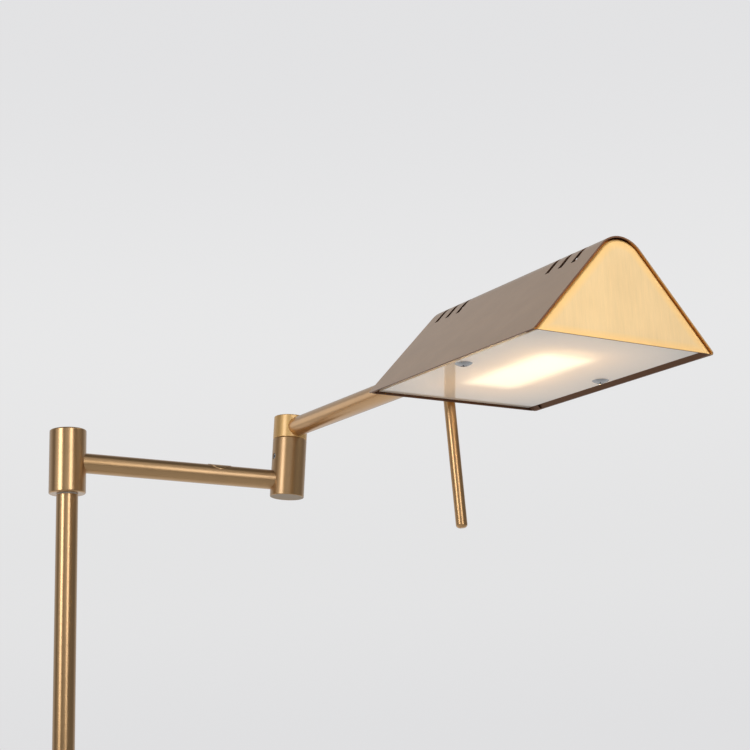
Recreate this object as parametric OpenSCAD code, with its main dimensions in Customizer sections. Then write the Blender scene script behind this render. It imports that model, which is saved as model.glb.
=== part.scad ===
// Swing-arm pharmacy floor lamp: weighted round base, post, two arms and a tent-shaped LED head.
// The origin is on the post axis at floor level, +Z is up and the first arm points along +X.

/* [Base] */
// Diameter of the round base
base_d = 240; // [220:5:280]
// Height of the base cover above the floor
base_h = 24; // [23:1:30]
// Thickness of the spun sheet of the base cover
cover_t = 1.4; // [1:0.1:2]

/* [Post] */
// Height of the first arm's axis above the floor, at the post
arm_height = 1250; // [900:10:1500]
// Outer diameter of the post tube
post_d = 17; // [16.5:0.5:20]
// Height of the seam between the two post tubes
post_seam = 640; // [400:10:800]

/* [Post collar] */
// Outer diameter of the collar that turns on the post
collar_d = 29; // [28:0.5:34]
// Collar length above the first arm's axis
collar_up = 25.5; // [22:0.5:32]
// Collar length below the first arm's axis
collar_down = 26; // [23:0.5:32]

/* [Arms] */
// Outer diameter of both arm tubes
arm_d = 16; // [15.5:0.1:16.2]
// First arm, from the post axis to the elbow axis
arm1_len = 178; // [150:1:260]
// Droop of the first arm below the horizontal, in degrees
droop = 4.5; // [0:0.5:6]
// Second arm, from the elbow axis to the far end of the shade
arm2_len = 238; // [200:1:320]
// Turn of the second arm away from the first, in degrees
swing = 73; // [0:1:150]

/* [Elbow] */
// Outer diameter of both elbow barrels
elbow_d = 27.8; // [27:0.1:30]
// Bottom of the lower barrel, below the first arm's axis
elbow_below = 13.5; // [12:0.5:18]
// Height of the split between the barrels, above the first arm's axis
elbow_split = 34.5; // [33:0.5:38]
// Height of the second arm's axis above the split
arm2_rise = 9.3; // [9.2:0.1:10]
// Height of the upper barrel
upper_barrel_h = 19; // [19:0.5:24]

/* [Shade] */
// Length of the shade along the second arm's axis
shade_len = 180; // [170:1:220]
// Width of the shade across its lower rim
shade_w = 140; // [136:1:160]
// Height of the ridge above the rim
shade_h = 65.5; // [64:0.5:76]
// Outer radius of the folded ridge
ridge_r = 20.5; // [14:0.5:22]
// Thickness of the shade's sheet metal
sheet_t = 1; // [0.8:0.1:1.2]
// Height of the second arm's axis above the rim
hub_rise = 26; // [25:0.5:30]
// Roll of the shade about the second arm's axis, in degrees
head_roll = 4.4; // [-30:0.2:30]
// Width of a cooling slot
slot_w = 4; // [1:0.5:5]
// Distance between neighbouring cooling slots
slot_pitch = 12.6; // [8:0.2:14]

/* [Glass and light] */
// Thickness of the frosted glass
glass_t = 3; // [2:0.5:3]
// Depth of the glass above the rim
glass_recess = 1.5; // [1:0.1:2]
// Distance of each glass screw from the shade's centre line
screw_out = 55; // [50:0.5:55]
// Length of the lit window
window_len = 88; // [60:1:100]
// Width of the lit window
window_w = 42; // [30:1:46]

/* [Handle] */
// Diameter of the handle rod
handle_d = 8; // [6:0.5:9]
// Lower end of the handle, from the second arm's axis
handle_len = 112; // [80:1:140]
// Turn of the handle about the second arm's axis, against the shade, in degrees
handle_turn = 4; // [-10:0.5:10]

/* [Hidden] */
$fn = 72;

// Colours
brass = [0.66, 0.48, 0.29];
bronze = [0.60, 0.52, 0.46];
gold_brass = [0.85, 0.68, 0.42];
steel = [0.72, 0.72, 0.74];
iron = [0.25, 0.25, 0.27];
nylon = [0.92, 0.92, 0.90];
white_paint = [0.95, 0.95, 0.93];

// Fits: air between parts that are fixed together, and between parts that turn
fixed_gap = 0.05;
turn_gap = 0.05;
face_gap = 0.05;
edge_r = 1.2;
// A small overshoot that lets a cut pass right through a face
over = 1;

// Base
felt_t = 2;
base_corner_r = 10;
post_hole_d = 10.6;
nipple_d = 10;
nipple_bore = 7;
bottom_recess_d = 32;
bottom_recess_h = 10;
weight_top = base_h - cover_t - face_gap;
weight_r = base_d / 2 - cover_t - 0.2;
pocket_floor = 4;
pocket_half_w = 22;
pocket_inner_x = 30;
driver_size = [60, 38, 15.5];
driver_x = -72;
washer_t = 2.5;
base_nut_h = 5.5;
gland_z = 9;
gland_thread_d = 10;
gland_bore = 6.6;
gland_nose_d = 13;
gland_nose_len = 9;
gland_nut_t = 3;
nut_standoff = 0.4;
skirt_x = base_d / 2;

// Post
post_bore = post_d - 3;
plug_d = post_bore - 2 * fixed_gap;
foot_collar_d = 36;
foot_collar_h = 14;
foot_floor = 2;
post_bottom = base_h + foot_floor;
foot_plug_h = 20;
coupler_h = 60;
coupler_bore = 10;
top_plug_h = 18;
swivel_washer_t = 0.6;
post_top = arm_height - collar_down - swivel_washer_t - 2 * face_gap;

// Collar: heights are above the first arm's axis
cavity_d = 22;
collar_floor = 9;
floor_top = -collar_down + collar_floor;
spring_washer_t = 1.2;
lock_nut_h = 4.5;
lock_nut_flats = 14;
cap_t = 3;

// Arms
arm_bore = arm_d - 2.4;
socket_d = arm_d + 2 * fixed_gap;
tube_start = 9.6;

// Dimmer on the first arm
dimmer_x = 121;
dimmer_len = 19.4;
dimmer_half_w = 7.2;
dimmer_ring_t = 0.35;
dimmer_button_d = 9;
dimmer_top_d = arm_d + 2 * dimmer_ring_t;
dimmer_button_bottom = 3.6;
dimmer_hole_d = 9.4;
switch_size = [15, 9, 5];
switch_top = 0;
spring_wire = 0.6;
spring_turns = 3;

// Elbow: heights are above the first arm's axis
web_bottom = 14;
pivot_d = 12;
pivot_bore = 7.5;
pivot_bottom = web_bottom + 0.5;
elbow_washer_d = 20;
elbow_washer_t = 1;
plug_t = 2.5;
split_gap = 0.15;
upper_bottom = elbow_split + split_gap;
upper_floor = upper_bottom + 3.35;
upper_cavity_d = 18;
upper_top = elbow_split + upper_barrel_h;
upper_cap_t = 1.6;
pivot_flange_d = 17;
pivot_flange_t = 1.8;
set_screw_z = 19;
set_screw_turn = 196;
set_screw_d = 5;
set_tip_d = 2.4;
set_tip_r = 5;
groove_depth = 1.2;
groove_h = 2.8;
groove_start = 31;
groove_sweep = 330;

// Head: lengths are from the far end of the shade, towards its near end
arm_end = 14;
stem_d = 10;
stem_bore = 6.5;
stem_end = 10.7;
spigot_len = 16;
hub_d = 18;
sleeve_d = 14;
cap_inset = 0.5;
cap_bend_r = 2.5;
bend_step = 15;
cap_flange = 9;
roof_corner_r = 2.5;
sleeve_end = cap_inset + sheet_t + 2.6;
ring_nut_d = 22;
ring_nut_t = 2.4;
head_washer_t = 1;
stem_nut_h = 4.5;
handle_x = -8.5;
handle_thread_d = 6;
handle_end_r = 2.6;
far_slots = 26.2;
near_slots = 148.1;
slot_floor_drop = 14;

// Shade profile
half_w = shade_w / 2;
ridge_z = shade_h - ridge_r;
slope = atan2(ridge_z, half_w) + asin(ridge_r / norm([half_w, ridge_z]));

// Light, heights above the rim
glass_top = glass_recess + glass_t;
plate_bottom = 10;
plate_t = 1;
plate_top = plate_bottom + plate_t;
plate_half_w = 55;
tab_t = 1;
tab_h = 12;
tab_inner_y = 15;
tab_outer_y = 44;
light_x = shade_len / 2;
diffuser_t = 1.5;
housing_h = 4.9;
board_t = 1.6;
board_size = [window_len + 12, window_w + 12];
board_bottom = plate_top + housing_h;
sink_bottom = board_bottom + board_t;
sink_base_t = 3;
fin_h = 13;
fin_t = 1.6;
fin_count = 8;
chip_size = 3;
chip_h = 0.8;
screw_head_d = 11.3;
screw_head_h = 1.9;
glass_hole_d = 5.6;
glass_thread_d = 4.8;
bracket_w = 14;
bracket_t = 1.5;
tab_thread_t = 2.5;

// ---- Frames ----

// X runs along the first arm and Z along the elbow's axis, from the post axis
module on_arm() {
    translate([0, 0, arm_height]) rotate([0, droop, 0]) children();
}

// The same directions, from the elbow axis
module on_elbow() {
    on_arm() translate([arm1_len, 0, 0]) children();
}

// X runs along the second arm, from the elbow axis
module on_second() {
    on_elbow() translate([0, 0, elbow_split + arm2_rise]) rotate([0, 0, -swing]) children();
}

// X runs along the shade from its far end, Z is the shade's own up, on the second arm's axis
module on_head() {
    on_second() translate([arm2_len, 0, 0]) rotate([head_roll, 0, 0]) children();
}

// The same directions, from the plane of the rim
module on_rim() {
    on_head() translate([0, 0, -hub_rise]) children();
}

// ---- Shared shapes ----

// A turned bar along Z with rounded rims
module rounded_bar(d, z0, z1, r) {
    rotate_extrude() {
        translate([0, z0]) square([d / 2 - r, z1 - z0]);
        translate([0, z0 + r]) square([d / 2, z1 - z0 - 2 * r]);
        for (z = [z0 + r, z1 - r]) translate([d / 2 - r, z]) circle(r);
    }
}

// A disc with its upper rim rounded
module domed_disc(radius, z0, z1, r) {
    rotate_extrude() {
        translate([0, z0]) square([radius - r, z1 - z0]);
        translate([0, z0]) square([radius, z1 - z0 - r]);
        translate([radius - r, z1 - r]) intersection() {
            circle(r);
            square(r);
        }
    }
}

module ring(outer_d, inner_d, z0, z1) {
    translate([0, 0, z0]) linear_extrude(z1 - z0) difference() {
        circle(d = outer_d);
        circle(d = inner_d);
    }
}

module hex_nut(flats, inner_d, z0, z1) {
    difference() {
        translate([0, 0, z0]) cylinder(d = flats / cos(30), h = z1 - z0, $fn = 6);
        translate([0, 0, z0 - over]) cylinder(d = inner_d, h = z1 - z0 + 2 * over);
    }
}

// A hole or rod along X
module bar_x(d, x0, x1) {
    translate([x0, 0, 0]) rotate([0, 90, 0]) cylinder(d = d, h = x1 - x0);
}

// Turns a shape that was made along Z so that it lies along X
module along_x() {
    rotate([0, 90, 0]) children();
}

// A slab centred on X and Y, given its heights
module slab(length, width, z0, z1) {
    translate([-length / 2, -width / 2, z0]) cube([length, width, z1 - z0]);
}

// The shade's section, moved inwards from its outer skin; tail carries it below the rim
module tent(inset, tail) {
    r = ridge_r - inset;
    foot = half_w - inset / sin(slope);
    touch = [r * sin(slope), ridge_z + r * cos(slope)];
    low = foot + tail / tan(slope);
    polygon([[-low, -tail], [low, -tail], touch, [0, ridge_z], [-touch.x, touch.y]]);
    translate([0, ridge_z]) circle(r);
}

// The shade's section as a solid between two stations
module tent_solid(inset, tail, x0, x1) {
    translate([x0, 0, 0]) rotate([90, 0, 90]) linear_extrude(x1 - x0) tent(inset, tail);
}

// The same with a plane face at x1 and the edge round that face bent to radius r
module bent_tent(inset, tail, x0, x1, r) {
    hull() {
        tent_solid(inset, tail, x0, x1 - r);
        for (turn = [bend_step : bend_step : 90])
            tent_solid(inset + r * (1 - cos(turn)), tail, x0, x1 - r * (1 - sin(turn)));
    }
}

// ---- Base ----

module base_felt() {
    color([0.12, 0.12, 0.13]) cylinder(d = base_d - 12, h = felt_t);
}

module base_weight() {
    color(iron) difference() {
        domed_disc(weight_r, felt_t, weight_top, base_corner_r - cover_t);
        cylinder(d = post_hole_d, h = base_h + over);
        translate([0, 0, -over]) cylinder(d = bottom_recess_d, h = felt_t + bottom_recess_h + over);
        // Pocket for the driver, open at the top and to the back
        translate([-base_d, -pocket_half_w, pocket_floor])
            cube([base_d - pocket_inner_x, 2 * pocket_half_w, base_h]);
        // Room for the gland's nut
        translate([-base_d, -pocket_half_w, 0]) cube([base_d / 2 + 10, 2 * pocket_half_w, base_h]);
        // Way for the leads, from the pocket to the post
        translate([-pocket_inner_x - over, -3, 0]) cube([pocket_inner_x, 6, pocket_floor + 6]);
    }
}

module base_cover() {
    color(brass) difference() {
        domed_disc(base_d / 2, 1, base_h, base_corner_r);
        domed_disc(base_d / 2 - cover_t, 0, base_h - cover_t, base_corner_r - cover_t);
        cylinder(d = post_hole_d, h = base_h + over);
        translate([0, 0, gland_z])
            bar_x(gland_thread_d + 2 * fixed_gap, -skirt_x - over, -skirt_x + 3 * cover_t);
    }
}

module led_driver() {
    color(nylon) difference() {
        translate([driver_x, 0, 0])
            slab(driver_size.x, driver_size.y, pocket_floor + 0.2, pocket_floor + 0.2 + driver_size.z);
        // Screw terminals at both ends
        for (x = [-1, 1], y = [-6, 6])
            translate([driver_x + x * driver_size.x / 2, y, pocket_floor + driver_size.z / 2])
                bar_x(3, -5, 5);
    }
}

module cable_gland() {
    inner_end = -skirt_x + cover_t + gland_nut_t + 1.5;
    color([0.1, 0.1, 0.1]) translate([0, 0, gland_z]) difference() {
        union() {
            bar_x(gland_thread_d, -skirt_x - over, inner_end);
            translate([-skirt_x, 0, 0]) rotate([0, -90, 0])
                rounded_bar(gland_nose_d, fixed_gap, gland_nose_len, 1);
        }
        bar_x(gland_bore, -skirt_x - gland_nose_len - over, inner_end + over);
    }
}

module gland_nut() {
    // It stands off the round wall, flats up and down
    color(steel) translate([-skirt_x + cover_t + nut_standoff, 0, gland_z]) along_x() rotate([0, 0, 30])
        hex_nut(13, gland_thread_d + 2 * fixed_gap, 0, gland_nut_t);
}

module foot_nipple() {
    bottom = felt_t + bottom_recess_h - washer_t - base_nut_h;
    color(steel) ring(nipple_d, nipple_bore, bottom, post_bottom + 18);
}

module base_washer() {
    top = felt_t + bottom_recess_h;
    color(steel) ring(28, nipple_d + 2 * fixed_gap, top - washer_t, top);
}

module base_nut() {
    top = felt_t + bottom_recess_h - washer_t;
    color(steel) hex_nut(17, nipple_d + 2 * fixed_gap, top - base_nut_h, top);
}

module foot_collar() {
    color(brass) difference() {
        domed_disc(foot_collar_d / 2, base_h, base_h + foot_collar_h, 3);
        cylinder(d = post_hole_d, h = 2 * base_h);
        translate([0, 0, post_bottom])
            cylinder(d = post_d + 2 * fixed_gap, h = foot_collar_h + over);
    }
}

// ---- Post ----

module post_foot_plug() {
    color(steel) ring(plug_d, nipple_d + 2 * fixed_gap, post_bottom, post_bottom + foot_plug_h);
}

module lower_post_tube() {
    color(brass) ring(post_d, post_bore, post_bottom, post_seam);
}

module post_coupler() {
    color(steel) ring(plug_d, coupler_bore, post_seam - coupler_h / 2, post_seam + coupler_h / 2);
}

module upper_post_tube() {
    color(brass) ring(post_d, post_bore, post_seam + face_gap, post_top);
}

module post_top_plug() {
    color(steel) ring(plug_d, nipple_d + 2 * fixed_gap, post_top - top_plug_h, post_top);
}

module swivel_nipple() {
    top = arm_height + floor_top + spring_washer_t + lock_nut_h + 0.6;
    color(steel) ring(nipple_d, nipple_bore, post_top - top_plug_h + 3, top);
}

module swivel_spring_washer() {
    bottom = arm_height + floor_top + face_gap;
    color(steel) ring(18, nipple_d + 2 * fixed_gap, bottom, bottom + spring_washer_t);
}

module swivel_nut() {
    bottom = arm_height + floor_top + face_gap + spring_washer_t;
    color(steel) hex_nut(lock_nut_flats, nipple_d + 2 * fixed_gap, bottom, bottom + lock_nut_h);
}

// ---- First arm ----

module swivel_washer() {
    bottom = post_top + face_gap;
    color(nylon) ring(post_d - 0.4, nipple_d + 2 * turn_gap, bottom, bottom + swivel_washer_t);
}

module post_collar() {
    color(brass) difference() {
        translate([0, 0, arm_height]) rounded_bar(collar_d, -collar_down, collar_up, edge_r);
        translate([0, 0, arm_height - collar_down - over])
            cylinder(d = nipple_d + 2 * turn_gap, h = collar_floor + 2 * over);
        translate([0, 0, arm_height + floor_top])
            cylinder(d = cavity_d, h = collar_up - floor_top + over);
        on_arm() bar_x(socket_d, tube_start - over, collar_d);
    }
}

module collar_cap() {
    color(brass) translate([0, 0, arm_height + collar_up - cap_t])
        cylinder(d = cavity_d - 2 * fixed_gap, h = cap_t);
}

module first_arm_tube() {
    color(brass) on_arm() difference() {
        bar_x(arm_d, tube_start, arm1_len - tube_start);
        bar_x(arm_bore, 0, arm1_len);
        translate([dimmer_x, 0, 0]) cylinder(d = dimmer_hole_d, h = arm_d);
    }
}

// Saddle-shaped trim that frames the dimmer button
module dimmer_ring() {
    // Two arcs that meet at the ends give its lens shape
    arc_r = (pow(dimmer_len / 2, 2) + pow(dimmer_half_w, 2)) / (2 * dimmer_half_w);
    color(brass) on_arm() translate([dimmer_x, 0, 0]) difference() {
        intersection() {
            bar_x(dimmer_top_d, -dimmer_len, dimmer_len);
            translate([0, arc_r - dimmer_half_w, 0]) cylinder(r = arc_r, h = arm_d);
            translate([0, dimmer_half_w - arc_r, 0]) cylinder(r = arc_r, h = arm_d);
        }
        bar_x(arm_d + 2 * fixed_gap, -2 * dimmer_len, 2 * dimmer_len);
        translate([0, 0, -over]) cylinder(d = dimmer_button_d + 2 * 0.1, h = arm_d);
    }
}

module dimmer_switch() {
    color(iron) on_arm() translate([dimmer_x, 0, 0])
        slab(switch_size.x, switch_size.y, switch_top - switch_size.z, switch_top);
}

// Points of a round wire's section, at one turn of a coil
function coil_ring(coil_r, wire_r, z, turn, sides) = [
    for (i = [0 : sides - 1])
        let (a = 360 * i / sides, r = coil_r + wire_r * cos(a))
        [r * cos(turn), r * sin(turn), z + wire_r * sin(a)]
];

// A compression spring along Z
module coil(coil_r, wire_d, z0, z1, turns) {
    sides = 8;
    steps = 16 * turns;
    wire_r = wire_d / 2;
    rise = z1 - z0 - wire_d;
    points = [
        for (k = [0 : steps])
            each coil_ring(coil_r, wire_r, z0 + wire_r + rise * k / steps, 360 * turns * k / steps, sides)
    ];
    walls = [
        for (k = [0 : steps - 1], i = [0 : sides - 1])
            let (j = (i + 1) % sides)
            [k * sides + i, (k + 1) * sides + i, (k + 1) * sides + j, k * sides + j]
    ];
    first = [for (i = [0 : sides - 1]) i];
    last = [for (i = [0 : sides - 1]) steps * sides + sides - 1 - i];
    polyhedron(points, concat(walls, [first, last]));
}

module dimmer_spring() {
    color(steel) on_arm() translate([dimmer_x, 0, 0])
        coil(2.6, spring_wire, switch_top + face_gap, dimmer_button_bottom - face_gap, spring_turns);
}

module dimmer_button() {
    color(gold_brass) on_arm() translate([dimmer_x, 0, 0]) intersection() {
        translate([0, 0, dimmer_button_bottom]) cylinder(d = dimmer_button_d, h = arm_d);
        bar_x(dimmer_top_d, -dimmer_len, dimmer_len);
    }
}

module elbow_lower() {
    color(brass) on_elbow() difference() {
        rounded_bar(elbow_d, -elbow_below, elbow_split, edge_r / 2);
        translate([0, 0, -elbow_below - over])
            cylinder(d = cavity_d, h = elbow_below + web_bottom + over);
        cylinder(d = pivot_d + 2 * turn_gap, h = elbow_split + over);
        translate([0, 0, elbow_split - elbow_washer_t])
            cylinder(d = elbow_washer_d + 2 * fixed_gap, h = elbow_washer_t + over);
        bar_x(socket_d, -elbow_d, -tube_start + over);
        translate([0, 0, set_screw_z]) rotate([0, 0, set_screw_turn])
            bar_x(set_screw_d + 2 * fixed_gap, pivot_d / 2 - over, elbow_d);
    }
}

module elbow_plug() {
    color(brass) on_elbow() translate([0, 0, -elbow_below])
        cylinder(d = cavity_d - 2 * fixed_gap, h = plug_t);
}

module elbow_washer() {
    bottom = elbow_split - elbow_washer_t;
    color(nylon) on_elbow()
        ring(elbow_washer_d, pivot_d + 2 * turn_gap, bottom, elbow_split + split_gap / 2);
}

// Its tip runs in the pivot's groove, holds the joint together and stops it at both ends
module elbow_set_screw() {
    outer = elbow_d / 2 - 0.6;
    color(steel) on_elbow() translate([0, 0, set_screw_z]) rotate([0, 0, set_screw_turn]) difference() {
        union() {
            bar_x(set_tip_d, set_tip_r, outer - over);
            bar_x(set_screw_d, pivot_d / 2 + 1, outer);
        }
        translate([outer - 1.6, 0, 0]) along_x() cylinder(d = 2 / cos(30), h = 2, $fn = 6);
    }
}

// ---- Second arm ----

module elbow_upper() {
    color(brass) difference() {
        on_elbow() rounded_bar(elbow_d, upper_bottom, upper_top, edge_r / 2);
        on_elbow() translate([0, 0, upper_bottom - over])
            cylinder(d = pivot_d + 2 * fixed_gap, h = upper_barrel_h);
        on_elbow() translate([0, 0, upper_floor]) cylinder(d = upper_cavity_d, h = upper_barrel_h);
        on_second() bar_x(socket_d, upper_cavity_d / 2 - 0.1, elbow_d);
    }
}

module elbow_cap() {
    color(brass) on_elbow() translate([0, 0, upper_top - upper_cap_t])
        cylinder(d = upper_cavity_d - 2 * fixed_gap, h = upper_cap_t);
}

module elbow_pivot() {
    color(steel) on_elbow() rotate([0, 0, -swing]) difference() {
        union() {
            ring(pivot_d, pivot_bore, pivot_bottom, upper_floor + pivot_flange_t);
            ring(pivot_flange_d, pivot_bore, upper_floor, upper_floor + pivot_flange_t);
        }
        translate([0, 0, set_screw_z - groove_h / 2]) rotate([0, 0, groove_start])
            rotate_extrude(angle = groove_sweep)
                translate([pivot_d / 2 - groove_depth, 0]) square([groove_depth + over, groove_h]);
    }
}

module second_arm_tube() {
    color(brass) on_second() difference() {
        bar_x(arm_d, tube_start, arm2_len - arm_end);
        bar_x(arm_bore, 0, arm2_len);
    }
}

module head_spigot() {
    color(steel) on_second() translate([arm2_len, 0, 0]) difference() {
        union() {
            bar_x(arm_bore - 2 * fixed_gap, -arm_end - spigot_len, -arm_end);
            bar_x(stem_d, -arm_end - over, stem_end);
        }
        bar_x(stem_bore, -arm_end - spigot_len - over, stem_end + over);
    }
}

module head_spring_washer() {
    start = sleeve_end + face_gap;
    color(steel) on_second() translate([arm2_len, 0, 0]) along_x()
        ring(17, stem_d + 2 * fixed_gap, start, start + head_washer_t);
}

module head_stem_nut() {
    start = sleeve_end + face_gap + head_washer_t;
    color(steel) on_second() translate([arm2_len, 0, 0]) along_x()
        hex_nut(lock_nut_flats, stem_d + 2 * fixed_gap, start, start + stem_nut_h);
}

// ---- Head ----

module head_hub() {
    color(brass) on_head() difference() {
        union() {
            along_x() rounded_bar(hub_d, -arm_end + 2 * face_gap, cap_inset, edge_r / 2);
            bar_x(sleeve_d, 0, sleeve_end);
        }
        bar_x(stem_d + 2 * turn_gap, -arm_end - over, sleeve_end + over);
        translate([handle_x, 0, 0]) rotate([handle_turn, 0, 0]) mirror([0, 0, 1])
            cylinder(d = handle_thread_d + 2 * fixed_gap, h = hub_d);
    }
}

module hub_ring_nut() {
    start = cap_inset + sheet_t;
    color(steel) on_head() along_x()
        ring(ring_nut_d, sleeve_d + 2 * fixed_gap, start, start + ring_nut_t);
}

module handle_rod() {
    color(brass) on_head() translate([handle_x, 0, 0]) rotate([handle_turn, 0, 0]) mirror([0, 0, 1]) {
        domed_disc(handle_d / 2, hub_d / 2, handle_len, handle_end_r);
        translate([0, 0, stem_d / 2 + 0.4]) cylinder(d = handle_thread_d, h = hub_d / 2);
    }
}

// Takes one lower corner off a slope, which rises along Y from the origin
module corner_cut() {
    difference() {
        translate([-over, -over, -2 * sheet_t])
            cube([roof_corner_r + over, roof_corner_r + over, 3 * sheet_t]);
        translate([roof_corner_r, roof_corner_r, -3 * sheet_t])
            cylinder(r = roof_corner_r, h = 5 * sheet_t);
    }
}

module shade_roof() {
    slot_floor = shade_h - slot_floor_drop;
    color(bronze) on_rim() difference() {
        tent_solid(0, 0, 0, shade_len);
        tent_solid(sheet_t, over, -over, shade_len + over);
        for (end = [0, 1], side = [0, 1])
            translate([end * shade_len, 0, 0]) mirror([end, 0, 0]) mirror([0, side, 0])
                translate([0, -half_w, 0]) rotate([slope, 0, 0]) corner_cut();
        // Cooling slots across the ridge
        for (middle = [far_slots, near_slots], i = [-1 : 1])
            translate([middle + i * slot_pitch, 0, 0]) slab(slot_w, shade_w, slot_floor, shade_h + over);
    }
}

// A pressed tray that closes one end: its face is at x = 0 and its flanges run back from it
module end_tray() {
    inset = sheet_t + fixed_gap;
    tail = 4;
    difference() {
        bent_tent(inset, tail, -cap_flange, 0, cap_bend_r);
        bent_tent(inset + sheet_t, tail + over, -cap_flange - over, -sheet_t, cap_bend_r - sheet_t);
        translate([-cap_flange - over, -half_w - tail, -2 * tail])
            cube([cap_flange + 2 * over, 2 * (half_w + tail), 2 * tail]);
    }
}

module near_end_cap() {
    color(gold_brass) on_rim() translate([shade_len - cap_inset, 0, 0]) end_tray();
}

module far_end_cap() {
    color(gold_brass) on_rim() difference() {
        translate([cap_inset, 0, 0]) mirror([1, 0, 0]) end_tray();
        translate([0, 0, hub_rise]) bar_x(sleeve_d + 2 * fixed_gap, 0, cap_inset + sheet_t + over);
    }
}

// Frosted glass, held by two screws through its long edges
module glass_plate() {
    end_gap = 0.8;
    x0 = cap_inset + sheet_t + end_gap;
    half = half_w - (2 * sheet_t + fixed_gap) / sin(slope) - glass_top / tan(slope) - 0.6;
    color([0.85, 0.87, 0.86, 0.6]) on_rim() difference() {
        translate([x0, -half, glass_recess]) cube([shade_len - 2 * x0, 2 * half, glass_t]);
        for (side = [-1, 1]) translate([light_x, side * screw_out, 0])
            cylinder(d = glass_hole_d, h = glass_top + over);
    }
}

// Truss-head screw with a cross recess, head down
module glass_screw() {
    head_bottom = glass_recess - screw_head_h;
    sphere_r = (pow(screw_head_d / 2, 2) + pow(screw_head_h, 2)) / (2 * screw_head_h);
    difference() {
        union() {
            intersection() {
                translate([0, 0, head_bottom + sphere_r]) sphere(sphere_r);
                translate([0, 0, head_bottom - over]) cylinder(d = screw_head_d, h = screw_head_h + over);
            }
            translate([0, 0, glass_recess - 0.5]) cylinder(d = glass_thread_d, h = glass_t + 3.6);
        }
        for (turn = [45, 135])
            rotate([0, 0, turn]) slab(4.4, 0.9, head_bottom - over, head_bottom + 1.1);
    }
}

module glass_screws() {
    color(steel) on_rim() for (side = [-1, 1]) translate([light_x, side * screw_out, 0]) glass_screw();
}

// Stepped strips that carry the glass screws' threads below the inner plate
module glass_brackets() {
    tab_bottom = glass_top + face_gap;
    inner_y = screw_out - 7;
    color(white_paint) on_rim() for (side = [0, 1]) mirror([0, side, 0]) difference() {
        translate([light_x - bracket_w / 2, 0, 0]) {
            translate([0, inner_y, tab_bottom]) cube([bracket_w, 11.5, tab_thread_t]);
            translate([0, inner_y - bracket_t, tab_bottom])
                cube([bracket_w, bracket_t, plate_bottom - tab_bottom]);
            translate([0, inner_y - 10, plate_bottom - bracket_t]) cube([bracket_w, 10, bracket_t]);
        }
        translate([light_x, screw_out, 0]) cylinder(d = glass_thread_d + 2 * fixed_gap, h = plate_bottom);
    }
}

// White sheet above the glass, with the lit window and four tabs welded to the end caps
module inner_plate() {
    x0 = cap_inset + sheet_t + fixed_gap;
    color(white_paint) on_rim() difference() {
        union() {
            translate([x0, -plate_half_w, plate_bottom])
                cube([shade_len - 2 * x0, 2 * plate_half_w, plate_t]);
            for (x = [x0, shade_len - x0 - tab_t], side = [0, 1]) mirror([0, side, 0])
                translate([x, tab_inner_y, plate_bottom]) cube([tab_t, tab_outer_y - tab_inner_y, tab_h]);
        }
        translate([light_x, 0, 0]) slab(window_len, window_w, 0, plate_top + over);
    }
}

module led_diffuser() {
    color([1, 0.97, 0.88]) on_rim() translate([light_x, 0, 0])
        slab(window_len + 1.6, window_w + 1.6, plate_top, plate_top + diffuser_t);
}

// Places of the four screws that clamp the light engine together
module at_sink_screws() {
    for (x = [-1, 1], y = [-1, 1])
        translate([light_x + x * (board_size.x / 2 - 2.6), y * (board_size.y / 2 - 2.6), 0]) children();
}

module led_housing() {
    color(nylon) on_rim() difference() {
        translate([light_x, 0, 0]) slab(board_size.x, board_size.y, plate_top, board_bottom);
        translate([light_x, 0, 0])
            slab(window_len + 2, window_w + 2, plate_top - over, board_bottom + over);
        at_sink_screws() cylinder(d = 3.1, h = board_bottom + over);
    }
}

module led_chips() {
    color([1, 0.9, 0.45]) on_rim() for (i = [-3.5 : 3.5], j = [-1.5 : 1.5])
        translate([light_x + i * window_len / 8, j * window_w / 4, 0])
            slab(chip_size, chip_size, board_bottom - chip_h, board_bottom);
}

module led_board() {
    color(white_paint) on_rim() difference() {
        translate([light_x, 0, 0]) slab(board_size.x, board_size.y, board_bottom, sink_bottom);
        at_sink_screws() cylinder(d = 3.1, h = sink_bottom + over);
    }
}

module heat_sink() {
    base_top = sink_bottom + sink_base_t;
    pitch = (board_size.y - fin_t) / (fin_count - 1);
    color(steel) on_rim() difference() {
        translate([light_x, 0, 0]) {
            slab(board_size.x, board_size.y, sink_bottom, base_top);
            for (i = [0 : fin_count - 1])
                translate([0, (i - (fin_count - 1) / 2) * pitch, 0])
                    slab(board_size.x - 20, fin_t, base_top - fixed_gap, base_top + fin_h);
        }
        at_sink_screws() cylinder(d = 3.1, h = base_top + over);
    }
}

module heat_sink_screws() {
    base_top = sink_bottom + sink_base_t;
    color(steel) on_rim() at_sink_screws() {
        translate([0, 0, plate_top + 0.3]) cylinder(d = 3, h = base_top - plate_top);
        translate([0, 0, base_top]) difference() {
            cylinder(d = 5.2, h = 2);
            for (turn = [0, 90]) rotate([0, 0, turn]) slab(3, 0.7, 1, 2 + over);
        }
    }
}

module terminal_block() {
    length = 18;
    color(nylon) on_rim() translate([30, 0, 0]) difference() {
        slab(length, 16, plate_top, plate_top + 11);
        for (y = [-4, 4]) {
            translate([0, y, plate_top + 4]) bar_x(3.2, -length, length);
            for (x = [-5, 5]) translate([x, y, plate_top + 7]) cylinder(d = 3, h = 5);
        }
    }
}

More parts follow.
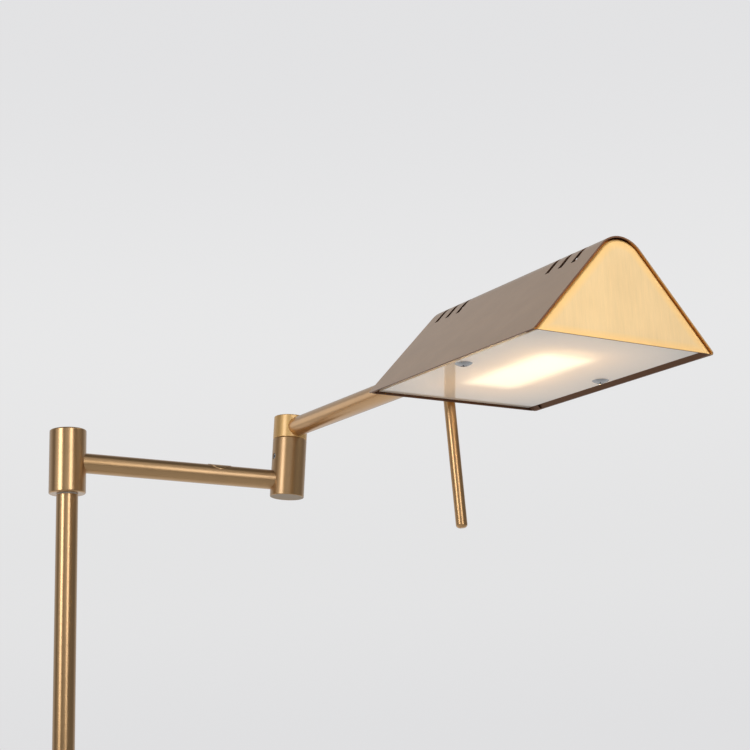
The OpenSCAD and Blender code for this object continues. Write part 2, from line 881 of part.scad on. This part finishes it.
base_felt();
base_weight();
base_cover();
led_driver();
cable_gland();
gland_nut();
foot_nipple();
base_washer();
base_nut();
foot_collar();
post_foot_plug();
lower_post_tube();
post_coupler();
upper_post_tube();
post_top_plug();
swivel_nipple();
swivel_spring_washer();
swivel_nut();
swivel_washer();
post_collar();
collar_cap();
first_arm_tube();
dimmer_ring();
dimmer_switch();
dimmer_spring();
dimmer_button();
elbow_lower();
elbow_plug();
elbow_washer();
elbow_set_screw();
elbow_upper();
elbow_cap();
elbow_pivot();
second_arm_tube();
head_spigot();
head_spring_washer();
head_stem_nut();
head_hub();
hub_ring_nut();
handle_rod();
shade_roof();
near_end_cap();
far_end_cap();
glass_plate();
glass_screws();
glass_brackets();
inner_plate();
led_diffuser();
led_housing();
led_chips();
led_board();
heat_sink();
heat_sink_screws();
terminal_block();
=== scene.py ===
"""Looks, light and camera for the pharmacy floor lamp. Metres, in the CAD frame."""

import math

import bmesh
import bpy
from mathutils import Matrix, Vector


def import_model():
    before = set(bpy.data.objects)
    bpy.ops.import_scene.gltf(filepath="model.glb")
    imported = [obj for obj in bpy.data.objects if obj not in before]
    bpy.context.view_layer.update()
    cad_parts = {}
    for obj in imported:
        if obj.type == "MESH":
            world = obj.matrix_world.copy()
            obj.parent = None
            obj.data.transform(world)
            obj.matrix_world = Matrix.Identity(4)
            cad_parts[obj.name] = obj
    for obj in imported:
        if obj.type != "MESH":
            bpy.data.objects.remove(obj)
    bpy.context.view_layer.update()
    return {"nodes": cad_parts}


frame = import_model()
NODES = frame["nodes"]

# ---- Camera ----

CAMERA_AT = (-0.05749, -1.15671, 1.01254)
YAW, PITCH, ROLL = (math.radians(a) for a in (-15.14, 14.77, -2.34))
FOCAL_MM = 69.81
SENSOR_MM = 36


def make_camera():
    forward = Vector((-math.sin(YAW) * math.cos(PITCH), math.cos(YAW) * math.cos(PITCH), math.sin(PITCH)))
    level = Vector((math.cos(YAW), math.sin(YAW), 0))
    upright = level.cross(forward)
    right = level * math.cos(ROLL) + upright * math.sin(ROLL)
    up = upright * math.cos(ROLL) - level * math.sin(ROLL)
    camera = bpy.data.objects.new("camera", bpy.data.cameras.new("camera"))
    camera.data.lens = FOCAL_MM
    camera.data.sensor_width = SENSOR_MM
    camera.data.clip_start = 0.01
    camera.matrix_world = Matrix.Translation(CAMERA_AT) @ Matrix((right, up, -forward)).transposed().to_4x4()
    bpy.context.scene.collection.objects.link(camera)
    bpy.context.scene.camera = camera


make_camera()
bpy.context.scene.view_settings.view_transform = "Standard"

# ---- Frames of the moving parts, as they stand at rest ----

POST_TOP = Vector((0, 0, 1.25))
DROOP, SWING, HEAD_ROLL = (math.radians(a) for a in (4.5, 73, 4.4))
ARM1_LEN, ARM2_LEN = 0.178, 0.238
ELBOW_RISE = 0.0345 + 0.0093

on_arm = Matrix.Translation(POST_TOP) @ Matrix.Rotation(DROOP, 4, "Y")
on_elbow = on_arm @ Matrix.Translation((ARM1_LEN, 0, 0))
on_second = on_elbow @ Matrix.Translation((0, 0, ELBOW_RISE)) @ Matrix.Rotation(-SWING, 4, "Z")
on_head = on_second @ Matrix.Translation((ARM2_LEN, 0, 0)) @ Matrix.Rotation(HEAD_ROLL, 4, "X")
HANDLE_X, HANDLE_TURN = -0.0085, math.radians(4)
on_handle = on_head @ Matrix.Translation((HANDLE_X, 0, 0)) @ Matrix.Rotation(HANDLE_TURN, 4, "X")
# Lays a local X axis upright, for the tubes and barrels that stand
X_TO_Z = Matrix.Rotation(math.radians(90), 4, "Y")

# The shade's section, from the CAD: a rim, two slopes and a round ridge
SHADE_LEN, HALF_W, RIDGE_R, HUB_RISE = 0.180, 0.070, 0.0205, 0.026
SHADE_H = 0.0655
RIDGE_Z = SHADE_H - RIDGE_R
SLOPE = math.atan2(RIDGE_Z, HALF_W) + math.asin(RIDGE_R / math.hypot(HALF_W, RIDGE_Z))


# ---- Node helpers ----


class Nodes:
    """Builds one material's node tree with short calls."""

    def __init__(self, name, material=None):
        self.material = material or bpy.data.materials.new(name)
        self.material.use_nodes = True
        self.tree = self.material.node_tree
        self.shader = self.tree.nodes["Principled BSDF"]
        self.output = self.tree.nodes["Material Output"]

    def add(self, kind, settings=None, **inputs):
        """Adds a node. An input goes by its socket's name, or by its place as i0, i1 and so on."""
        node = self.tree.nodes.new(kind)
        for key, value in (settings or {}).items():
            setattr(node, key, value)
        for key, value in inputs.items():
            by_place = key[0] == "i" and key[1:].isdigit()
            self.feed(node.inputs[int(key[1:]) if by_place else key], value)
        return node

    def feed(self, socket, value):
        if isinstance(value, bpy.types.NodeSocket):
            self.tree.links.new(value, socket)
        else:
            socket.default_value = value

    def math(self, operation, a, b=0.0, clamp=False):
        return self.add("ShaderNodeMath", {"operation": operation, "use_clamp": clamp}, i0=a, i1=b).outputs[0]

    def vector(self, operation, a, b=(0, 0, 0)):
        node = self.add("ShaderNodeVectorMath", {"operation": operation}, i0=a, i1=b)
        return node.outputs["Value" if operation == "DOT_PRODUCT" else "Vector"]

    def split(self, vector):
        """The X, Y and Z of a vector."""
        return self.add("ShaderNodeSeparateXYZ", i0=vector).outputs

    def mix(self, share, a, b, blend="MIX"):
        node = self.add("ShaderNodeMix", {"data_type": "RGBA", "blend_type": blend})
        self.feed(node.inputs[0], share)
        self.feed(node.inputs[6], a)
        self.feed(node.inputs[7], b)
        return node.outputs[2]

    def span(self, value, low, high, to_low, to_high, settings=None):
        """Takes low to to_low and high to to_high, and holds it there."""
        node = self.add("ShaderNodeMapRange", settings, Value=value)
        for key, number in (("From Min", low), ("From Max", high), ("To Min", to_low), ("To Max", to_high)):
            node.inputs[key].default_value = number
        return node.outputs[0]

    def fade(self, value, near, far):
        """1 up to near, falling smoothly to 0 at far."""
        return self.span(value, near, far, 1.0, 0.0, {"interpolation_type": "SMOOTHSTEP"})

    def from_noise(self, value, to_low, to_high):
        """Spreads the usual range of a noise over the given one."""
        return self.span(value, 0.3, 0.7, to_low, to_high)

    def noise(self, vector, scale, detail=2.0, rough=0.5):
        node = self.add("ShaderNodeTexNoise", Vector=vector, Scale=scale, Detail=detail, Roughness=rough)
        return node.outputs["Fac"]

    def length(self, a, b):
        """The hypotenuse of two sides."""
        squares = [self.math("MULTIPLY", side, side) for side in (a, b)]
        return self.math("SQRT", self.math("ADD", *squares))

    def place(self, local):
        """Object coordinates in the given frame, in metres."""
        coordinates = self.add("ShaderNodeTexCoord").outputs["Object"]
        inverse = local.inverted()
        parts = self.add("ShaderNodeCombineXYZ")
        for i in range(3):
            turned = self.vector("DOT_PRODUCT", coordinates, tuple(inverse[i][:3]))
            self.feed(parts.inputs[i], self.math("ADD", turned, inverse[i][3]))
        return parts.outputs[0]

    def section_inset(self, position):
        """Distance inside the outline of the shade's section, in metres."""
        parts = self.split(position)
        across = self.math("ABSOLUTE", parts["Y"])
        above_rim = self.math("ADD", parts["Z"], HUB_RISE)
        from_ridge = self.math("SUBTRACT", above_rim, RIDGE_Z)
        inward = self.math("MULTIPLY", self.math("SUBTRACT", HALF_W, across), math.sin(SLOPE))
        from_slope = self.math("SUBTRACT", inward, self.math("MULTIPLY", above_rim, math.cos(SLOPE)))
        from_arc = self.math("SUBTRACT", RIDGE_R, self.length(across, from_ridge))
        on_slope = self.math(
            "GREATER_THAN",
            self.math("MULTIPLY", across, math.cos(SLOPE)),
            self.math("MULTIPLY", from_ridge, math.sin(SLOPE)),
        )
        slope_part = self.math("MULTIPLY", on_slope, from_slope)
        arc_part = self.math("MULTIPLY", self.math("SUBTRACT", 1.0, on_slope), from_arc)
        return self.math("ADD", slope_part, arc_part)


def rgba(colour):
    return (*colour, 1.0)


def scaled(colour, k):
    return tuple(c * k for c in colour)


# Which of the local X, Y and Z run across the grain
GRAINS = {
    "round": (True, False, False),
    "lengthways": (False, True, True),
    "upright": (True, True, False),
}
COARSE_ACROSS, COARSE_ALONG = 0.22, 0.5
CLOUD_SCALE = 38.0
LACQUER_ROUGHNESS = 0.24


# How squarely a surface has to face one way before it counts as an edge, or as a cap's outer side
EDGE_FADE = (0.85, 0.97)
OUTER_FADE = (0.25, 0.45)
# Metres in from the section's outline, where the painted shade on a cap's border ends and the painted shade
# on the roof's inner side begins
BORDER_FADE = (0.0025, 0.0085)
INSIDE_FADE = (0.0004, 0.0008)
# The cap's painted border is this much narrower along the rim
BORDER_DROP = 0.0035
# Metres along the shade, where the painted light in its mouth begins, and across it, where the painted
# highlight on its cut edges begins
MOUTH_FADE = (0.1745, 0.1770)
EDGE_LIGHT_FADE = (0.0, 0.03)


class Skin:
    """A colour and its lacquer, which layers cover one after another."""

    def __init__(self, n, local, position, colour, lacquer):
        self.n = n
        self.colour = colour
        self.lacquer = lacquer
        self.position = position
        self.facing = n.add("ShaderNodeTexCoord").outputs["Normal"]
        self.turn = local.to_3x3()

    def tint(self, share, colour):
        self.colour = self.n.mix(share, self.colour, colour)

    def bare(self, share, colour):
        """A tint that has no lacquer."""
        self.tint(share, colour)
        self.lacquer = self.n.math("MULTIPLY", self.n.math("SUBTRACT", 1.0, share), self.lacquer)

    def towards(self, axis, sign=1):
        """How squarely the surface faces along a local axis, from -1 to 1."""
        return self.n.vector("DOT_PRODUCT", self.facing, tuple(sign * self.turn.col[axis]))

    def add_border_shade(self, colour):
        """Painted warm reflection and shade along an end cap's bent border, and painted shade on its flanges
        and its inner side.
        """
        n = self.n
        parts = n.split(self.position)
        above_rim = n.math("ADD", parts["Z"], HUB_RISE + BORDER_DROP)
        from_edge = n.math("MINIMUM", n.section_inset(self.position), above_rim)
        # Painted warm reflection and shade along the bent border
        self.tint(n.span(from_edge, *BORDER_FADE, 1, 0), rgba(colour))
        side = n.math("SIGN", n.math("SUBTRACT", parts["X"], SHADE_LEN / 2))
        outward = n.math("MULTIPLY", self.towards(0), side)
        # Painted shade on the flanges and the inner side
        self.tint(n.span(outward, *OUTER_FADE, 1, 0), rgba(PAINTED_SHADE))

    def add_inner_shade(self, colour):
        """Painted shade on the inner side of the roof, with painted light in the shade's mouth."""
        n = self.n
        inside = n.span(n.section_inset(self.position), *INSIDE_FADE, 0, 1)
        mouth = n.span(n.split(self.position)["X"], *MOUTH_FADE, 0, 1)
        self.bare(inside, n.mix(mouth, rgba(colour), rgba(MOUTH_LIGHT)))

    def add_cut_edge(self, colour):
        """The cut edges at both ends along local X take the given colour, with a painted highlight towards
        +Y.
        """
        n = self.n
        ends = n.math("ABSOLUTE", self.towards(0))
        lit_side = n.span(n.split(self.position)["Y"], *EDGE_LIGHT_FADE, 0, 1)
        self.bare(n.span(ends, *EDGE_FADE, 0, 1), n.mix(lit_side, rgba(colour), rgba(EDGE_LIGHT)))

    def add_rim_shade(self, colour):
        """Painted shade on the edges that face down."""
        self.bare(self.n.span(self.towards(2, -1), *EDGE_FADE, 0, 1), rgba(colour))


def across_grain(n, local, kind):
    """The direction across the grain, in which highlights stretch."""
    to_world = {"vector_type": "VECTOR", "convert_from": "OBJECT", "convert_to": "WORLD"}
    turned = n.add("ShaderNodeVectorTransform", to_world)
    turned.inputs[0].default_value = tuple(local.to_3x3().col[2 if kind == "upright" else 0])
    tangent = turned.outputs[0]
    if kind == "round":
        return tangent
    normal = n.add("ShaderNodeNewGeometry").outputs["Normal"]
    return n.vector("NORMALIZE", n.vector("CROSS_PRODUCT", tangent, normal))


def brushed_metal(
    name, local, base, rough, kind="round", across=0.00035, along=0.03, grain=0.3,
    coat=1.0, anisotropy=0.3, patina=0.03, border=None, inner=None, cut_edge=None, rim_shade=None
):
    """Brushed and lacquered brass. Its grain is "round" local X, "lengthways" along X or "upright" along Z.

    across and along are the size of the grain in metres, and grain and patina are their strength.
    """
    n = Nodes(name)
    position = n.place(local)
    crosses = GRAINS[kind]
    sizes = [across if crossing else along for crossing in crosses]
    coarse = [COARSE_ACROSS if crossing else COARSE_ALONG for crossing in crosses]
    fine_grain = n.noise(n.vector("MULTIPLY", position, [1 / size for size in sizes]), 1.0, 3.0, 0.6)
    coarse_grain = n.noise(n.vector("MULTIPLY", position, [k / size for k, size in zip(coarse, sizes)]), 1.0)
    cloud = n.noise(position, CLOUD_SCALE, 3.0, 0.55)
    streak = n.math("ADD", n.math("MULTIPLY", fine_grain, 0.6), n.math("MULTIPLY", coarse_grain, 0.4))
    # The grain is a little darker in its furrows, and the patina drifts slowly
    tone = n.math(
        "ADD",
        n.from_noise(streak, 1 - 0.05 * grain, 1 + 0.04 * grain),
        n.from_noise(cloud, -patina, patina * 0.6),
    )
    grey = n.add("ShaderNodeCombineColor", i0=tone, i1=tone, i2=tone).outputs[0]
    skin = Skin(n, local, position, n.mix(1.0, rgba(base), grey, "MULTIPLY"), coat)
    if border:
        skin.add_border_shade(border)
    if inner:
        skin.add_inner_shade(inner)
    if cut_edge:
        skin.add_cut_edge(cut_edge)
    if rim_shade:
        skin.add_rim_shade(rim_shade)
    roughness = n.math(
        "ADD",
        n.from_noise(streak, rough - 0.03 * grain, rough + 0.03 * grain),
        n.from_noise(cloud, 0.015, -0.01),
        clamp=True,
    )
    bump = n.add("ShaderNodeBump", Height=fine_grain, Strength=0.1 * grain, Distance=0.00002)
    n.feed(n.shader.inputs["Base Color"], skin.colour)
    n.feed(n.shader.inputs["Roughness"], roughness)
    n.feed(n.shader.inputs["Normal"], bump.outputs[0])
    n.feed(n.shader.inputs["Coat Weight"], skin.lacquer)
    n.feed(n.shader.inputs["Tangent"], across_grain(n, local, kind))
    n.shader.inputs["Metallic"].default_value = 1.0
    n.shader.inputs["Coat Roughness"].default_value = LACQUER_ROUGHNESS
    n.shader.inputs["Coat IOR"].default_value = 1.5
    n.shader.inputs["Anisotropic"].default_value = anisotropy
    return n.material


def plain(name, base, rough, metallic=0.0, cloud_scale=150.0, spread=0.06, bump=0.0, **extra):
    """A moulded, painted, plated or cast surface with slow tone changes and a fine bump."""
    n = Nodes(name)
    position = n.add("ShaderNodeTexCoord").outputs["Object"]
    cloud = n.noise(position, cloud_scale, 4.0, 0.6)
    fine = n.noise(position, cloud_scale * 12, 3.0, 0.6)
    colour = n.mix(n.from_noise(cloud, 0, 1), rgba(scaled(base, 1 - spread)), rgba(base))
    n.feed(n.shader.inputs["Base Color"], colour)
    n.feed(n.shader.inputs["Roughness"], n.from_noise(fine, rough - 0.05, rough + 0.05))
    if bump:
        node = n.add("ShaderNodeBump", Height=fine, Strength=0.3, Distance=bump)
        n.feed(n.shader.inputs["Normal"], node.outputs[0])
    n.shader.inputs["Metallic"].default_value = metallic
    for key, value in extra.items():
        n.shader.inputs[key.replace("_", " ")].default_value = value
    return n.material


# ---- Finishes ----

AGED = (0.60, 0.368, 0.168)
# Painted light: a brighter, more orange copy of the same brass, for the upper elbow barrel
LIT_BRIGHT_BRASS = (0.98, 0.63, 0.25)
# Painted light: a warmer copy of the same brass, for the second arm and the handle
WARM_LIT_BRASS = (0.68, 0.40, 0.17)
BRONZE = (0.60, 0.36, 0.18)
# Painted light: a paler copy of the same brass, for the end caps and the dimmer button
LIT_PALE_BRASS = (0.80, 0.58, 0.30)
# Painted warm reflection and shade on the end caps' bent border
BORDER_SHADE_GLOW = (0.92, 0.58, 0.21)
# Painted shade: dark brown on the caps' flanges and inner side and on the roof's cut and rim edges
PAINTED_SHADE = (0.17, 0.085, 0.05)
TURNED_END = (0.36, 0.27, 0.18)
# Painted shade on the end caps' downward edges
CAP_RIM_SHADE = (0.22, 0.10, 0.04)
# Painted shade on the roof's inner side
ROOF_INSIDE_SHADE = (0.16, 0.085, 0.05)
# Painted highlight on the cut edges towards +Y
EDGE_LIGHT = (0.42, 0.25, 0.10)
# Painted light on the roof's inner side in the shade's mouth
MOUTH_LIGHT = (0.85, 0.50, 0.18)

post_brass = brushed_metal("post_brass", X_TO_Z, AGED, 0.29)
arm_brass = brushed_metal("arm_brass", on_arm, AGED, 0.36)
elbow_brass = brushed_metal("elbow_brass", on_elbow @ X_TO_Z, AGED, 0.39, cut_edge=TURNED_END)
upper_lit_brass = brushed_metal("upper_lit_brass", on_elbow @ X_TO_Z, LIT_BRIGHT_BRASS, 0.50)
second_brass = brushed_metal("second_brass", on_second, WARM_LIT_BRASS, 0.29)
handle_brass = brushed_metal("handle_brass", on_handle @ X_TO_Z, WARM_LIT_BRASS, 0.29)
roof_bronze = brushed_metal(
    "roof_bronze", on_head, BRONZE, 0.42, "lengthways", across=0.0007, along=0.04, grain=1.1,
    patina=0.06, inner=ROOF_INSIDE_SHADE, cut_edge=PAINTED_SHADE, rim_shade=PAINTED_SHADE
)
cap_lit_brass = brushed_metal(
    "cap_lit_brass", on_head, LIT_PALE_BRASS, 0.48, "upright", across=0.0005, along=0.012, grain=1.6, coat=0.3,
    anisotropy=0.75, border=BORDER_SHADE_GLOW, rim_shade=CAP_RIM_SHADE
)
# The dimmer button's paler brass is a painted highlight
button_lit_brass = brushed_metal(
    "button_lit_brass", on_arm, LIT_PALE_BRASS, 0.42, "lengthways", across=0.0004, along=0.01, grain=0.6, coat=0.3
)
zinc = plain("zinc_steel", (0.50, 0.51, 0.53), 0.22, metallic=1.0, cloud_scale=300.0, spread=0.15)
aluminium = plain("aluminium", (0.75, 0.76, 0.78), 0.38, metallic=1.0, cloud_scale=200.0, spread=0.1)
cast_iron = plain("cast_iron", (0.05, 0.05, 0.055), 0.75, cloud_scale=90.0, spread=0.4, bump=0.0004)
felt = plain("felt", (0.018, 0.018, 0.02), 0.95, cloud_scale=500.0, spread=0.5, bump=0.0006)
nylon = plain("nylon", (0.82, 0.81, 0.77), 0.4, spread=0.05, bump=0.00005)
black_plastic = plain("black_plastic", (0.02, 0.02, 0.022), 0.42, spread=0.3, bump=0.0001)
white_paint = plain("white_paint", (0.82, 0.81, 0.79), 0.45, spread=0.04, bump=0.0001)
phosphor = plain("phosphor", (0.85, 0.62, 0.15), 0.5, cloud_scale=900.0, spread=0.1)


def opal():
    n = Nodes("opal")
    cloud = n.noise(n.place(on_head), 60.0)
    n.feed(n.shader.inputs["Base Color"], n.mix(cloud, (0.9, 0.86, 0.78, 1), (0.95, 0.92, 0.86, 1)))
    n.shader.inputs["Roughness"].default_value = 0.5
    n.shader.inputs["Emission Color"].default_value = (1.0, 0.73, 0.42, 1)
    n.shader.inputs["Emission Strength"].default_value = 7.0
    return n.material


# The middle and half the size of the lit window on the glass, along the shade and across it
LIT_WINDOW = ((0.088, 0.036), (-0.004, 0.013))
# The painted glow, from the faint wide glow to the core: where it starts and ends, in metres from the window,
# and its colour
PAINTED_GLOWS = (
    ((0.03, 0.085), (0.15, 0.10, 0.055)),
    ((0.004, 0.040), (0.26, 0.15, 0.06)),
    ((0.0, 0.014), (0.56, 0.46, 0.30)),
)


def frosted_glass():
    """The light source's glow through it is painted on as emission: a core over the lit window, a halo and a
    faint wide glow.
    """
    n = Nodes("frosted_glass")
    position = n.place(on_head)
    parts = n.split(position)
    beyond = []
    for i, (middle, half) in enumerate(LIT_WINDOW):
        from_middle = n.math("ABSOLUTE", n.math("SUBTRACT", parts[i], middle))
        beyond.append(n.math("MAXIMUM", n.math("SUBTRACT", from_middle, half), 0.0))
    away = n.length(*beyond)
    glow = rgba((0, 0, 0))
    for (near, far), colour in PAINTED_GLOWS:
        glow = n.mix(n.fade(away, near, far), glow, rgba(colour))
    mottling = n.noise(position, 2500.0, 3.0, 0.7)
    n.feed(n.shader.inputs["Roughness"], n.from_noise(mottling, 0.36, 0.48))
    n.feed(n.shader.inputs["Emission Color"], glow)
    for key, value in {
        "Base Color": (0.97, 0.94, 0.89, 1),
        "Transmission Weight": 0.4,
        "Emission Strength": 1.0,
        "IOR": 1.5,
        "Coat Weight": 1.0,
        "Coat IOR": 1.9,
        "Coat Roughness": 0.02,
    }.items():
        n.shader.inputs[key].default_value = value
    return n.material


opal_diffuser = opal()
glass = frosted_glass()

FINISH = {
    post_brass: [
        "base_cover", "foot_collar", "lower_post_tube", "post_coupler", "upper_post_tube", "post_collar",
        "collar_cap",
    ],
    arm_brass: ["first_arm_tube", "dimmer_ring"],
    elbow_brass: ["elbow_lower", "elbow_plug"],
    upper_lit_brass: ["elbow_upper", "elbow_cap"],
    second_brass: ["second_arm_tube", "head_hub", "head_spigot"],
    handle_brass: ["handle_rod"],
    roof_bronze: ["shade_roof"],
    cap_lit_brass: ["near_end_cap", "far_end_cap"],
    button_lit_brass: ["dimmer_button"],
    zinc: [
        "base_washer", "base_nut", "foot_nipple", "gland_nut", "post_foot_plug", "post_top_plug",
        "swivel_nipple", "swivel_spring_washer", "swivel_nut", "dimmer_spring", "elbow_washer",
        "elbow_set_screw", "elbow_pivot", "head_spring_washer", "head_stem_nut", "hub_ring_nut",
        "glass_screws", "heat_sink_screws",
    ],
    aluminium: ["heat_sink"],
    cast_iron: ["base_weight"],
    felt: ["base_felt"],
    nylon: ["led_driver", "swivel_washer", "led_housing", "terminal_block"],
    black_plastic: ["cable_gland", "dimmer_switch"],
    white_paint: ["inner_plate", "glass_brackets", "led_board"],
    phosphor: ["led_chips"],
    opal_diffuser: ["led_diffuser"],
    glass: ["glass_plate"],
}


def paint():
    done = set()
    for material, names in FINISH.items():
        for name in names:
            slots = NODES[name].data.materials
            slots.clear()
            slots.append(material)
            done.add(name)
    left = sorted(set(NODES) - done)
    if left:
        raise ValueError(f"no finish for {left}")


paint()

# ---- Studio ----

HEAD = Vector((0.2, -0.2, 1.25))

FLOOR_R = 7.0
FLOOR = (0.62, 0.62, 0.62)
FLOOR_DEPTH = (-0.6, 1.2)
FLOOR_FRONT, FLOOR_BACK = 0.25, 0.74
FLOOR_SEEN, FLOOR_EVENNESS = (0.78, 0.78, 0.785), 0.72

# Colours by the direction's Y (back of the room) and Z (height), from -1 to 1
ROOM = ((0.1, (0.16, 0.155, 0.15)), (0.7, (0.48, 0.475, 0.47)))
CEILING = ((0.7, (1, 1, 1)), (0.95, (0.7, 0.7, 0.7)))
BACKDROP = (
    (-0.1, (0.70, 0.70, 0.71)),
    (0.0, (0.745, 0.745, 0.755)),
    (0.12, (0.775, 0.775, 0.78)),
    (0.28, (0.805, 0.805, 0.81)),
    (0.47, (0.765, 0.765, 0.775)),
)


def softbox(name, at, size, radiance, aim=HEAD, beam=None):
    """A rectangular light. Its radiance is what a mirror there would show.

    beam is the full angle in degrees outside which it gives nothing; it is brightest straight ahead.
    """
    data = bpy.data.lights.new(name, "AREA")
    data.shape = "RECTANGLE"
    data.size, data.size_y = size
    data.energy = radiance * math.pi * size[0] * size[1]
    if beam:
        data.spread = math.radians(beam)
        half = data.spread / 2
        data.energy *= (math.tan(half) - half) / math.tan(half)
    light = bpy.data.objects.new(name, data)
    turned = (aim - at).to_track_quat("-Z", "Y").to_matrix().to_4x4()
    light.matrix_world = Matrix.Translation(at) @ turned
    light.visible_camera = False
    bpy.context.scene.collection.objects.link(light)
    return light


def towards(azimuth, elevation, distance=2.5):
    """A place round the head. Azimuth 0 is in front of it, towards -Y, and grows to the right."""
    a, e = math.radians(azimuth), math.radians(elevation)
    return HEAD + distance * Vector((math.sin(a) * math.cos(e), -math.cos(a) * math.cos(e), math.sin(e)))


def only_on(light, names):
    """The light is flagged off everything but these nodes."""
    lit = bpy.data.collections.new(light.name + "_receivers")
    for name in names:
        lit.objects.link(NODES[name])
    light.light_linking.receiver_collection = lit


def lights():
    softbox("left_softbox", towards(-55, 11), size=(0.8, 1.0), radiance=4.7)
    softbox("left_wing", towards(-75, 11), size=(1.3, 1.0), radiance=0.5)
    softbox("front_fill", towards(0, 11), size=(2.6, 1.0), radiance=0.47)
    softbox("right_upper", towards(75, 36), size=(1.3, 1.25), radiance=1.1)
    softbox("near_top", Vector((0.1, -0.7, 2.0)), size=(0.6, 0.6), radiance=0.48)
    near_front = softbox(
        "near_front", Vector((0.36, -1.15, 1.48)), size=(0.32, 0.75), radiance=3.6,
        aim=Vector((-0.02, 0.0, 1.1)), beam=70
    )
    only_on(near_front, sorted(set(NODES) - {"elbow_lower"}))
    cap_light = softbox("cap_softbox", towards(55, 14), size=(1.8, 0.9), radiance=1.7)
    only_on(cap_light, ["near_end_cap", "shade_roof"])
    arm_light = softbox("arm_softbox", towards(-130, 12), size=(1.2, 1.2), radiance=0.42)
    only_on(arm_light, ["second_arm_tube"])


def floor():
    """It lights the lamp with a gradient, and is seen as an even pale floor with faint shadows."""
    mesh = bpy.data.meshes.new("studio_floor")
    surface = bmesh.new()
    bmesh.ops.create_circle(surface, cap_ends=True, segments=96, radius=FLOOR_R)
    surface.to_mesh(mesh)
    surface.free()
    made = bpy.data.objects.new("studio_floor", mesh)
    bpy.context.scene.collection.objects.link(made)
    paint_floor = plain("studio_floor", FLOOR, 0.6, cloud_scale=3.0, spread=0.02, Emission_Color=rgba(FLOOR))
    mesh.materials.append(paint_floor)
    n = Nodes("studio_floor", paint_floor)
    depth = n.split(n.add("ShaderNodeTexCoord").outputs["Object"])["Y"]
    n.feed(n.shader.inputs["Emission Strength"], n.span(depth, *FLOOR_DEPTH, FLOOR_FRONT, FLOOR_BACK))
    seen = n.add("ShaderNodeEmission", Color=rgba(FLOOR_SEEN))
    share = n.math("MULTIPLY", n.add("ShaderNodeLightPath").outputs["Is Camera Ray"], FLOOR_EVENNESS)
    mixer = n.add("ShaderNodeMixShader", i0=share, i1=n.shader.outputs[0], i2=seen.outputs[0])
    n.feed(n.output.inputs["Surface"], mixer.outputs[0])


def sky_ramp(tree, height, stops):
    """A smooth run of colours over a value from -1 to 1."""
    node = tree.nodes.new("ShaderNodeMapRange")
    node.inputs["From Min"].default_value = -1
    node.inputs["From Max"].default_value = 1
    tree.links.new(height, node.inputs["Value"])
    colours = tree.nodes.new("ShaderNodeValToRGB")
    tree.links.new(node.outputs[0], colours.inputs[0])
    band = colours.color_ramp
    band.interpolation = "EASE"
    while len(band.elements) < len(stops):
        band.elements.new(0.5)
    for element, (place, colour) in zip(band.elements, stops):
        element.position = (place + 1) / 2
        element.color = rgba(colour)
    return colours.outputs[0]


def world():
    """The light that falls on the lamp, and a paler backdrop that only the camera sees."""
    made = bpy.data.worlds.new("studio")
    made.use_nodes = True
    tree = made.node_tree
    lighting = tree.nodes["Background"]
    direction = tree.nodes.new("ShaderNodeSeparateXYZ")
    tree.links.new(tree.nodes.new("ShaderNodeTexCoord").outputs["Generated"], direction.inputs[0])
    room = tree.nodes.new("ShaderNodeMix")
    room.data_type = "RGBA"
    room.blend_type = "MULTIPLY"
    room.inputs[0].default_value = 1.0
    tree.links.new(sky_ramp(tree, direction.outputs["Y"], ROOM), room.inputs[6])
    tree.links.new(sky_ramp(tree, direction.outputs["Z"], CEILING), room.inputs[7])
    tree.links.new(room.outputs[2], lighting.inputs["Color"])
    seen = tree.nodes.new("ShaderNodeBackground")
    tree.links.new(sky_ramp(tree, direction.outputs["Z"], BACKDROP), seen.inputs["Color"])
    mixer = tree.nodes.new("ShaderNodeMixShader")
    tree.links.new(tree.nodes.new("ShaderNodeLightPath").outputs["Is Camera Ray"], mixer.inputs[0])
    tree.links.new(lighting.outputs[0], mixer.inputs[1])
    tree.links.new(seen.outputs[0], mixer.inputs[2])
    tree.links.new(mixer.outputs[0], tree.nodes["World Output"].inputs["Surface"])
    bpy.context.scene.world = made


lights()
floor()
world()
